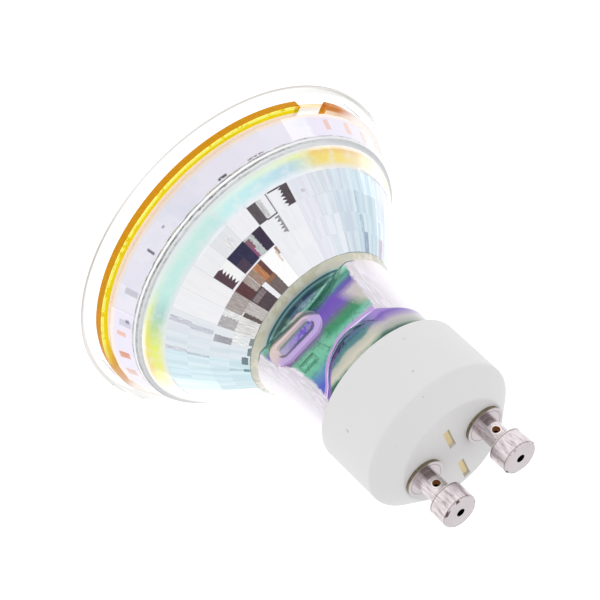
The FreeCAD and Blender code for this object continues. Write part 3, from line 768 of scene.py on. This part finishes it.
def step_colour(at, point):
    """Painted fine broken dark lines at the step's edges, with a painted highlight between them, softer on
    one side.
    """
    height = at.height + (noise(point, 900, 3, 0.7) - 0.5) * 0.2
    # Painted dark edge lines and a painted highlight line, by height
    lines = ramp(height, [
        (6.4, 228, 226, 238), (6.5, 190, 190, 196), (6.54, 120, 120, 126), (6.66, 124, 124, 130),
        (6.7, 236, 236, 238), (6.98, 250, 250, 250), (7.03, 126, 128, 128), (7.14, 130, 133, 132),
        (7.2, 238, 239, 240), (7.3, 196, 198, 198), (7.38, 170, 173, 172), (7.5, 232, 234, 236),
        (7.8, 236, 238, 242)])
    soft = ramp(height, [
        (6.4, 226, 224, 234), (6.6, 202, 202, 208), (7, 214, 216, 218), (7.2, 198, 200, 203),
        (7.4, 224, 226, 227), (7.8, 236, 236, 241)])
    side = ramp(at.azimuth, [(-180, 0.8), (-50, 0.9), (-22, 0.3), (-8, 0), (36, 0), (60, 0.5), (180, 0.8)])
    broken = over(noise(point, 1000), 0.53, 0.1) * 0.4
    lines = blend(broken, lines, (226, 228, 230))
    return blend(side, lines, soft)


def ring_mask(side, height, length, tall, line, middle):
    """Mask of a stadium-shaped ring, and of what it encloses, in the plane of the flat."""
    along = larger(abs(side - middle[0]) - (length - tall) / 2, 0)
    far = distance(along, height - middle[1])
    ring = window(far, tall / 2 - line, tall / 2, 0.12)
    hole = under(far, tall / 2 - line, 0.12)
    return ring, hole


def neck_colour(at, point):
    """Rainbow sheen of the neck: green, purple and teal on the flats, pinkish white beside them."""
    side, slant, height = at.side, at.slant, at.height
    cloud = noise(point, 330, 4)
    fine = noise(point, 1300, 3, 0.7)
    shake = cloud - 0.5
    rise = slant + shake * 1.5
    along = side + shake * 2.2
    left = ramp(rise, [
        (18.4, 130, 190, 180), (19.3, 176, 218, 206), (19.9, 130, 188, 170), (20.4, 72, 138, 118),
        (20.8, 88, 150, 134), (21.3, 80, 92, 150), (21.9, 98, 64, 166), (23.2, 106, 74, 172),
        (23.9, 92, 96, 126), (24.5, 54, 128, 86), (25.3, 44, 134, 94), (26, 100, 172, 146),
        (26.8, 146, 176, 178), (27.5, 176, 160, 200)])
    right = ramp(rise, [
        (18.4, 110, 170, 158), (19.5, 130, 184, 170), (20.3, 110, 156, 140), (21.1, 110, 96, 160),
        (22.9, 128, 100, 170), (23.8, 112, 78, 140), (24.4, 98, 116, 128), (24.9, 102, 164, 138),
        (26, 108, 180, 148), (27.3, 100, 172, 146), (28.3, 84, 126, 172), (29.5, 74, 90, 184)])
    flat = blend(over(along, 0.9, 0.8), left, right)
    scratch = window(noise(point, 520, 2, 0.6), 0.492, 0.508, 0.01)
    scratch = scratch * larger(window(rise, 18, 21.2, 0.5), window(rise, 24.6, 27, 0.4))
    flat = blend(scratch * 0.34, flat, (30, 92, 88))
    corner = -side - rise * 0.4
    beige = over(corner, -3.7, 1.5) * window(rise, 22.9, 25.2, 1.2) * 0.85
    flat = blend(beige, flat, (196, 188, 182))
    # Painted shade: a dark line along the crease on the flat
    crease = (side - 1.3) * 3.3 + (slant - 26.5)
    crease = window(crease, -0.12, 0.12, 0.25) * window(slant, 24.4, 26.6, 0.3)
    flat = blend(crease * 0.6, flat, (52, 108, 92))
    red = window(along, 5.3, 9, 0.6) * window(rise, 22.8, 24.2, 0.5)
    flat = blend(red * 0.8, flat, (128, 84, 136))
    ring, hole = ring_mask(side, height, OVAL[0], OVAL[1], OVAL[2], OVAL[4:])
    across = height - OVAL[5]
    lower = across - (side - OVAL[4]) * 0.25
    ring_tone = ramp(lower, [
        (-3, 206, 192, 184), (-0.9, 200, 182, 182), (0.5, 178, 156, 204), (3, 176, 152, 208)])
    hole_tone = ramp(along, [
        (0, 92, 64, 178), (2.6, 100, 76, 176), (4, 134, 116, 184), (5.2, 150, 142, 180),
        (7, 178, 162, 194)])
    speckle = over(fine, 0.52, 0.05)
    hole_tone = blend(speckle * 0.4, hole_tone, (176, 164, 200))
    # Painted shade along the lower inner edge of the oval ring
    low_edge_shade = under(across, -0.45, 0.2)
    hole_tone = blend(low_edge_shade * 0.8, hole_tone, (96, 124, 110))
    near = over(at.facing, 0, 0.1)
    flat = blend(near * hole, flat, hole_tone)
    flat = blend(near * ring, flat, ring_tone)
    streaks = over(fine, 0.6, 0.08) * (1.0 - near * ring) * (1.0 - beige)
    flat = blend(streaks * 0.24, flat, (40, 84, 76))
    # Painted shade: a dark line just inside the edge of the small moulded frame
    edge = larger(abs(side - MARK[4]) - MARK[0] / 2, abs(height - MARK[5]) - MARK[1] / 2)
    edge = window(edge, -0.2, 0, 0.1) * near
    flat = blend(edge * 0.6, flat, (64, 128, 102))
    foot = ramp(rise, [
        (26.5, 184, 150, 202), (27, 196, 190, 226), (27.4, 70, 88, 140), (28, 58, 112, 122),
        (28.7, 74, 120, 124), (29.1, 168, 172, 160), (30.1, 194, 188, 174), (30.5, 150, 166, 148),
        (30.8, 46, 98, 78), (32.1, 36, 72, 62)])
    arch_line = curve(side, ARCH_LINE, 26, 32)
    above = slant - (arch_line - 0.1)
    corner = over(along, 1, 1.2) * window(above, 0.1, 0.45, 0.35)
    foot = blend(corner, foot, (112, 72, 160))
    flat = blend(window(above, -0.4, -0.1, 0.2), flat, (178, 146, 202))
    # Painted highlight: a thin bright line along the arch
    bright = window(above, -0.02, 0.06, 0.05) * over(side, -4.6, 1.2)
    flat = blend(bright, flat, (222, 220, 240))
    swelling = ramp(height, [
        (28.2, 150, 122, 190), (28.7, 110, 82, 168), (29.4, 140, 122, 174), (30.2, 176, 170, 172),
        (31.2, 150, 158, 150), (31.7, 52, 90, 80), (32.6, 40, 76, 68)])
    foot = blend(under(side, -5.6, 2.4), foot, swelling)
    colour = blend(over(above, 0.15, 0.08), flat, foot)
    beside = ramp(height, [
        (19, 214, 198, 178), (20.2, 226, 212, 200), (21.6, 238, 232, 234), (25.5, 240, 236, 242),
        (32.5, 240, 236, 243)])
    sheen = noise(vector(at.azimuth * 0.16, height * 0.12), 1, 3, 0.6)
    tint = ramp(sheen, [
        (0.3, 226, 238, 242), (0.42, 240, 240, 244), (0.55, 244, 234, 242), (0.7, 238, 226, 216)])
    beside = blend(0.55, beside, tint)
    # Painted shade: cool grey on the neck's sides beside the flats, strongest towards the front
    grey = ramp(at.azimuth, [
        (-180, 0.2), (-70, 0.1), (-48, 0.6), (-30, 0.8), (50, 0.9), (66, 0.7), (84, 0.1), (180, 0.2)])
    beside = blend(grey * 0.8, beside, blend(cloud, (178, 184, 192), (204, 196, 203)))
    beside = blend(ramp(cloud, [(0.42, 0), (0.66, 0.75)]), beside, (226, 218, 232))
    low_end = -side - curve(height, LOW_SIDE, 5, 8)
    high_end = side - curve(height, HIGH_SIDE, 5, 8)
    over_arch = height - arch_line
    turned_foot = over(over_arch, 0.1, 0.2) * under(side, -3, 1) * over(at.depth, 2, 1.9)
    beside = blend(turned_foot, beside, swelling)
    outside = larger(larger(low_end, high_end), FLAT_DEPTH - 0.3 - at.depth)
    strands = vector(at.azimuth * 0.5, height * 0.45)
    strands = over(noise(strands, 1, 4, 0.7), 0.54, 0.1) * under(outside, 0.7, 2.2)
    strands = strands * (1.0 - turned_foot)
    beside = blend(strands * 0.6, beside, (186, 178, 186))
    ragged = outside + (fine - 0.5)
    return blend(over(ragged, 0.15, 0.3), colour, beside)


def shoulder_colour(at, point):
    """Rubbed olive-grey ring between the facets and the neck, with thin dark lines at both edges and a
    painted highlight line on the ledge.
    """
    height, radius = at.height, at.radius
    ring = ramp(at.fold, [
        (0, 190, 188, 164), (30, 194, 192, 170), (50, 218, 211, 193), (90, 238, 232, 228)])
    rubbed = noise(point, 700, 4, 0.7)
    ring = blend(over(rubbed, 0.52, 0.08), ring, (204, 204, 190))
    ledge = window(height, LEDGE_LINE, 20, 0.03)
    # Painted highlight: a pale cyan line on the ledge, then a dark teal line and pale teal towards the neck
    ring = blend(under(radius, 10.35, 0.12) * ledge * 0.85, ring, (176, 204, 194))
    ring = blend(under(radius, 10, 0.12) * ledge, ring, (66, 110, 122))
    ring = blend(under(radius, 9.65, 0.12) * ledge, ring, (136, 190, 178))
    sides = larger(window(at.azimuth, 38, 76, 3), window(at.azimuth, -66, -42, 3))
    flecks = sides * window(height, 18.4, 18.56, 0.1)
    flecks = flecks * over(noise(point, 1900, 3, 0.7), 0.48, 0.1)
    ring = blend(flecks * 0.7, ring, (118, 140, 136))
    dark = window(height, FACET_HEIGHTS[4] - 0.02, FACET_HEIGHTS[4] + 0.05, 0.05)
    dark = dark * over(rubbed, 0.42, 0.06)
    return blend(dark * 0.7, ring, (96, 112, 108))


def skirt_coating():
    """Skirt, step and plain band, told apart by height."""
    material, target, point, at = coating("coating_skirt")
    colour = rim_colour(at, point)
    colour = blend(over(at.height, STEP_START, 0.03), colour, step_colour(at, point))
    colour = blend(over(at.height, BAND_START, 0.2), colour, band_colour(at, point))
    feed(target, colour)
    return material


def facet_coating(name, low_row, high_row):
    """Two rows of facets: a material with all four would be too large for the renderer."""
    material, target, point, at = coating(name)
    feed(target, facet_colour(at, point, low_row, high_row))
    return material


def neck_coating():
    """Shoulder ring and neck, with a painted dark line of shade in the corner where the neck starts."""
    material, target, point, at = coating("coating_neck")
    neck = neck_colour(at, point)
    # Painted shade in the corner where the neck rises from the ledge
    line = window(at.height, LEDGE_HEIGHT, LEDGE_HEIGHT + 0.12, 0.06) * under(at.fold, 52, 4)
    neck = blend(line * 0.75, neck, (44, 84, 92))
    rough = window(at.height, 18.4, LEDGE_HEIGHT, 0.05) * 0.45 + 0.12
    feed(target.node.inputs["Roughness"], rough)
    start = over(at.height, LEDGE_HEIGHT - 0.01, 0.02)
    feed(target, blend(start, shoulder_colour(at, point), neck))
    return material


def cap_material():
    """White moulded cap: fine grain and a few dark specks."""
    material, shader, point = new_material("cap_white", Roughness=0.5, IOR=1.45)
    fine = noise(point, 1800)
    broad = noise(point, 70, 2)
    colour = blend(broad, (214, 214, 216), (220, 218, 216))
    specks = noise(point, 900, 1)
    rare = noise(point, 160, 1)
    dots = over(specks, 0.76, 0.03) * over(rare, 0.56, 0.05)
    colour = blend(dots * 0.3, colour, (120, 112, 108))
    feed(shader.inputs["Base Color"], colour)
    bump(shader, fine, 0.25, 0.00004)
    return material


def pin_material():
    """Nickel-plated pins: pinkish silver with painted streaks of reflection, browner at the flange and in
    the holes, with painted dark reflections at the chamfers, painted shade under the head and in the end
    hole, and a painted glow in the cross hole.
    """
    material, shader, point = new_material("pin_nickel", Metallic=1, Emission_Strength=0.35)
    xyz = add("ShaderNodeSeparateXYZ", {0: point})
    x, y, z = (part / MM for part in xyz)
    off = x - calc("SIGN", x) * PIN_SIDE
    radius = distance(off, y)
    turn = calc("ARCTAN2", off, -y)
    cloud = noise(point, 500)
    stripe = vector(turn * 6, z * 0.5, calc("SIGN", x))
    streak = noise(stripe, 1, 4, 0.65)
    # Painted reflections: streaks along the pin, dark to light, in place of the room mirrored in the metal
    wall = ramp(streak, [
        (0.3, 150, 140, 138), (0.44, 200, 190, 192), (0.56, 220, 211, 215), (0.72, 240, 234, 236)])
    face = blend(cloud, (204, 196, 198), (222, 214, 218))
    top = window(z, CAP_FACE, CAP_FACE + 0.6, 0.02) * over(radius, 1.56, 0.03)
    top = larger(over(z, PIN_TOP - 0.06, 0.03), top)
    colour = blend(top, wall, face)
    # Painted dark reflections: thin rings at the chamfers of the head
    lines = larger(window(z, PIN_TOP - 0.3, PIN_TOP - 0.2, 0.04),
                   window(z, PIN_HEAD + 0.12, PIN_HEAD + 0.24, 0.04))
    lines = lines * over(radius, 2.2, 0.02)
    colour = blend(lines * (streak + 0.1), colour, (112, 100, 94))
    # Dark marks along the outer edge of the head's end, placed by noise
    dark_edge_marks = over(radius, 2.24, 0.04) * over(cloud, 0.54, 0.04) * over(z, PIN_TOP - 0.22, 0.03)
    colour = blend(dark_edge_marks, colour, (104, 84, 84))
    # Painted shade under the head, round the stem
    below = window(z, PIN_HEAD - 0.5, PIN_HEAD, 0.3) * under(radius, 1.9, 0.1)
    colour = blend(below * 0.5, colour, (120, 110, 106))
    flange = over(radius, 2.62, 0.05) * window(z, CAP_FACE, CAP_FACE + 0.46, 0.03)
    colour = blend(flange, colour, blend(streak, (92, 84, 66), (170, 158, 132)))
    seam = window(radius, 2.3, 2.36, 0.06) * window(z, CAP_FACE + 0.46, CAP_FACE + 0.6, 0.03)
    colour = blend(seam * 0.6, colour, (124, 116, 104))
    crimp = window(off, -1.1, 0.1, 0.2) * window(z, CAP_FACE + 0.6, CAP_FACE + 1.5, 0.15)
    crimp = crimp * over(streak, 0.42, 0.06) * window(y, -3, 0, 0.1)
    colour = blend(crimp * 0.75, colour, (98, 82, 78))
    a = math.radians(CROSS_HOLE_TURN)
    hole = distance(off * math.cos(a) + y * math.sin(a), z - CROSS_HOLE)
    rim = window(hole, 0.54, 0.66, 0.04) * window(radius, 1.3, 1.6, 0.05)
    colour = blend(rim * 0.7, colour, (246, 238, 230))
    inside = under(hole, 0.54, 0.02) * under(radius, 1.44, 0.02)
    brown = blend(cloud, (92, 52, 30), (168, 112, 66))
    colour = blend(inside, colour, brown)
    # Painted shade: dark inside the end hole
    bore = under(radius, 0.59, 0.02)
    colour = blend(bore, colour, blend(inside, (40, 34, 36), (84, 48, 30)))
    feed(shader.inputs["Base Color"], colour)
    # Painted light: a brown glow inside the cross hole
    glow = blend(inside * over(radius, 0.3, 0.3), 0, brown)
    feed(shader.inputs["Emission Color"], glow)
    feed(shader.inputs["Roughness"], 0.2 + cloud * 0.18)
    turned = add("ShaderNodeTexWave", {"Vector": point, "Scale": 2600, "Distortion": 1.0},
                 bands_direction="Z")[1]
    bump(shader, turned, 0.05, 0.00002)
    return material


def board_material():
    """Amber glass-epoxy laminate, orange on its edges and yellow on its back, with a painted glow standing
    in for light through it.
    """
    material, shader, point = new_material("board_laminate", Roughness=0.45, IOR=1.2,
                                           Emission_Strength=0.6)
    at = places(point)
    z = at.height
    grain = noise(point, 1300)
    weave = add("ShaderNodeTexWave", {"Vector": point, "Scale": 420, "Distortion": 0.6})[1]
    edge = blend(grain, (194, 128, 8), (208, 144, 16))
    back = blend(grain, (226, 198, 6), (238, 216, 22))
    glint = over(at.radius, BOARD_EDGE, 0.08) * over(grain, 0.46, 0.06)
    back = blend(glint * 0.8, back, (250, 250, 130))
    on_back = window(z, BOARD_BACK, 4, 0.02)
    colour = blend(on_back, edge, back)
    inner = under(at.radius, BOARD_INSIDE, 0.16) * on_back
    colour = blend(inner, colour, (252, 234, 216))
    pale = window(at.azimuth, -120, -48, 2) * under(at.radius, BOARD_RING, 0.2) * on_back
    colour = blend(pale, colour, (250, 230, 206))
    piece = window(at.azimuth, -84, -48, 2) * over(at.radius, BOARD_RING, 0.2)
    colour = blend(piece, colour, blend(grain, (196, 116, 44), (208, 134, 64)))
    rose = ramp(at.fold, [(0, 0), (64, 0), (78, 0.7), (90, 0.9)])
    colour = blend(rose, colour, (208, 132, 84))
    faded = ramp(at.azimuth, [
        (-180, 0), (-110, 0), (-101, 0.93), (-72, 0.93), (-67, 0.6), (-61, 0), (86, 0), (98, 0.3),
        (105, 0.9), (124, 0.95), (134, 0), (180, 0)])
    colour = blend(faded, colour, (254, 250, 248))
    tall = blend(grain, (176, 160, 122), (196, 182, 146))
    colour = blend(over(z, 10, 1), colour, tall)
    feed(shader.inputs["Base Color"], colour)
    # Painted light: the laminate's glow, stronger towards the inside, where the collar shades the board
    lit = ramp(at.radius, [(22.4, 0.8), (22.9, 0.64), (23.3, 0.4), (23.5, 0.42)])
    feed(shader.inputs["Emission Color"], blend(1, colour, lit, "MULTIPLY"))
    bump(shader, weave, 0.1, 0.00003)
    return material


def plain_material(name, colour, other, rough, scale, metallic=0):
    """Small inner part: two close colours mixed by noise, with a fine bump."""
    material, shader, point = new_material(name, Roughness=rough, Metallic=metallic)
    cloud = noise(point, scale, 3)
    feed(shader.inputs["Base Color"], blend(cloud, colour, other))
    bump(shader, noise(point, scale * 3, 2), 0.15, 0.00003)
    return material


# Small inner parts: how their nodes' names start, name of the material, its two colours, roughness,
# scale of the grain, and for metal 1.0
INNER_LOOKS = [
    ("light_chip", "chip_ceramic", (240, 236, 220), (232, 214, 130), 0.35, 500),
    (("driver_chip", "bridge_rectifier"), "chip_black", (34, 34, 36), (48, 48, 50), 0.5, 700),
    ("cement_bead", "cement", (226, 222, 212), (206, 200, 188), 0.85, 900),
    ("electrolytic_capacitor", "capacitor_sleeve", (24, 26, 34), (36, 40, 52), 0.3, 300),
    ("inductor_core", "ferrite", (54, 54, 56), (70, 68, 68), 0.7, 900),
    ("inductor_winding", "copper_wire", (186, 102, 56), (206, 128, 80), 0.3, 1500, 1),
    ("film_capacitor", "film_box", (196, 164, 52), (208, 178, 72), 0.35, 400),
    ("fusible_resistor", "resistor_coat", (84, 134, 116), (100, 150, 130), 0.5, 600),
    ("neutral_wire", "wire_white", (222, 222, 216), (208, 208, 202), 0.45, 500),
    ("led_wire_plus", "wire_red", (170, 36, 32), (186, 52, 46), 0.4, 500),
    ("led_wire_minus", "wire_black", (28, 28, 30), (40, 40, 42), 0.4, 500),
]


def dress(node, material):
    """Give a CAD node its material, in every slot."""
    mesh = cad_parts[node].data
    mesh.materials.clear()
    mesh.materials.append(material)


def put(piece, materials):
    """Finish a new piece that stands for the reflector."""
    for material in materials:
        piece.data.materials.append(material)
    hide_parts("glass_reflector")
    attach(piece, "root")


def dress_cad_nodes():
    """Materials of everything that the two new pieces don't replace."""
    board, pins = board_material(), pin_material()
    looks = {"front_cover": clear_glass("cover_glass", COVER_INDEX, COVER_GLOW), "light_board": board,
             "driver_board": board, "cap": cap_material(), "contact_pin_live": pins,
             "contact_pin_neutral": pins}
    for starts, *look in INNER_LOOKS:
        material = plain_material(*look)
        looks.update((node, material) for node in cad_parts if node.startswith(starts))
    for node, material in looks.items():
        dress(node, material)


def set_camera():
    """Camera from its place, its azimuth and elevation, and its roll about the way it looks."""
    a, e, roll = (math.radians(v) for v in (CAMERA_AZIMUTH, CAMERA_ELEVATION, CAMERA_ROLL))
    back = Vector((math.sin(a) * math.cos(e), -math.cos(a) * math.cos(e), math.sin(e)))
    right = (-back).cross(Vector((0, 0, 1))).normalized()
    up = right.cross(-back)
    across = math.cos(roll) * right + math.sin(roll) * up
    upward = -math.sin(roll) * right + math.cos(roll) * up
    data = bpy.data.cameras.new("camera")
    data.lens = CAMERA_LENS
    data.sensor_width = 36.0
    data.sensor_fit = "HORIZONTAL"
    data.clip_start, data.clip_end = 0.01, 20.0
    camera = bpy.data.objects.new("camera", data)
    turn = Matrix((across, upward, back)).transposed().to_4x4()
    camera.matrix_world = Matrix.Translation(CAMERA_PLACE) @ turn
    bpy.context.scene.collection.objects.link(camera)
    bpy.context.scene.camera = camera


def floor():
    """Wide pale floor just under the rim."""
    corners = np.array([(-1, -1), (1, -1), (1, 1), (-1, 1)]) * FLOOR_HALF_WIDTH
    corners = np.column_stack([corners, np.full(4, -FLOOR_GAP)])
    plane = mesh_object("floor", corners, np.array([[0, 1, 2, 3]]))
    material, shader, point = new_material("floor_pale", Roughness=0.9, Emission_Strength=0.88)
    feed(shader.inputs["Base Color"], blend(noise(point, 2), (150, 150, 150), (152, 152, 152)))
    shader.inputs["Emission Color"].default_value = (1, 1, 1, 1)
    plane.data.materials.append(material)


def light_stage():
    """Bright even surroundings, a little dimmer behind the camera, and one soft light from above."""
    world = bpy.data.worlds.new("studio")
    world.use_nodes = True
    bpy.context.scene.world = world
    nodes = world.node_tree.nodes
    direction = Value(nodes.new("ShaderNodeTexCoord").outputs["Generated"])
    height = add("ShaderNodeSeparateXYZ", {0: direction})[2]
    even = ramp(height, [(-0.2, 0.99), (0.1, 0.985, 0.985, 0.99, 1), (0.4, 0.95), (1, 1.04)])
    toward = add("ShaderNodeVectorMath", {0: direction, 1: DIM_SIDE}, operation="DOT_PRODUCT")[1]
    dim = ramp(toward, [(0.3, 1), (0.95, 0.91, 0.91, 0.92, 1), (1, 0.9, 0.9, 0.91, 1)])
    background = next(n for n in nodes if n.type == "BACKGROUND")
    background.inputs["Strength"].default_value = 1.0
    feed(background.inputs["Color"], blend(1, even, dim, "MULTIPLY"))
    lamp = bpy.data.lights.new("soft_light", "AREA")
    lamp.shape = "DISK"
    lamp.size = LAMP_SIZE
    lamp.energy = LAMP_WATTS
    piece = bpy.data.objects.new("soft_light", lamp)
    piece.location = LAMP_PLACE
    piece.rotation_euler = (Vector(LAMP_AIM) - piece.location).to_track_quat("-Z", "Y").to_euler()
    bpy.context.scene.collection.objects.link(piece)


set_camera()
light_stage()
floor()
put(clear_rim(), [clear_glass("clear_rim", RIM_INDEX, 0)])
put(mirror_bowl(), [skirt_coating(), facet_coating("coating_facets_low", 0, 2),
                    facet_coating("coating_facets_high", 2, 4), neck_coating()])
dress_cad_nodes()

scene = bpy.context.scene
scene.view_settings.view_transform = "Standard"
